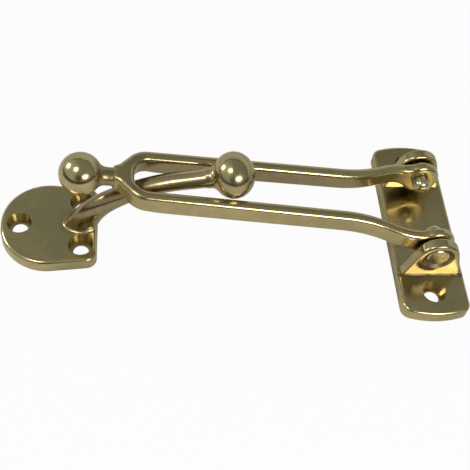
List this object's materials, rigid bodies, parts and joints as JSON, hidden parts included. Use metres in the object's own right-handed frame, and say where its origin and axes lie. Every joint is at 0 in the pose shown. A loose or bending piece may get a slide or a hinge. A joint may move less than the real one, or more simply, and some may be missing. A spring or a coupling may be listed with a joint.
{
  "type": "ball and slot door restrictor",
  "caption": "Brass door restrictor: a forked arm hinged between two ears of a screw-on plate, with a keeper whose bent stalk carries a ball that runs in the arm's slot.",
  "frame": {"origin": "middle between the hinge plate's two screw holes, on the plate's back face", "axes": "+Z is the outward normal of both plates' back planes, +Y runs along the hinge axis, and the arm points towards -X, raised a little"},
  "size_m": [0.162, 0.0754, 0.0402],
  "materials": {
    "cast_brass_plate": "polished cast brass with light olive tarnish",
    "forged_brass_arm": "polished forged brass",
    "turned_brass": "turned brass, brighter than the castings",
    "cast_brass_keeper": "polished cast brass with satin flats"
  },
  "bodies": {
    "frame": {"frame_plate": "cast_brass_plate", "pivot_screw_near": "turned_brass", "pivot_screw_far": "turned_brass"},
    "arm": {"arm": "forged_brass_arm"},
    "keeper": {"keeper": "cast_brass_keeper"}
  },
  "joints": [
    {"name": "arm_hinge", "type": "hinge", "parent": "frame", "child": "arm", "pos_m": [0, 0, 0.0147], "axis": [0, 1, 0], "range_deg": [-30, 190]},
    {"name": "keeper_slide", "type": "slide", "parent": "arm", "child": "keeper", "axis": [0.9907, 0, -0.1357], "range_m": [0, 0.045]}
  ]
}
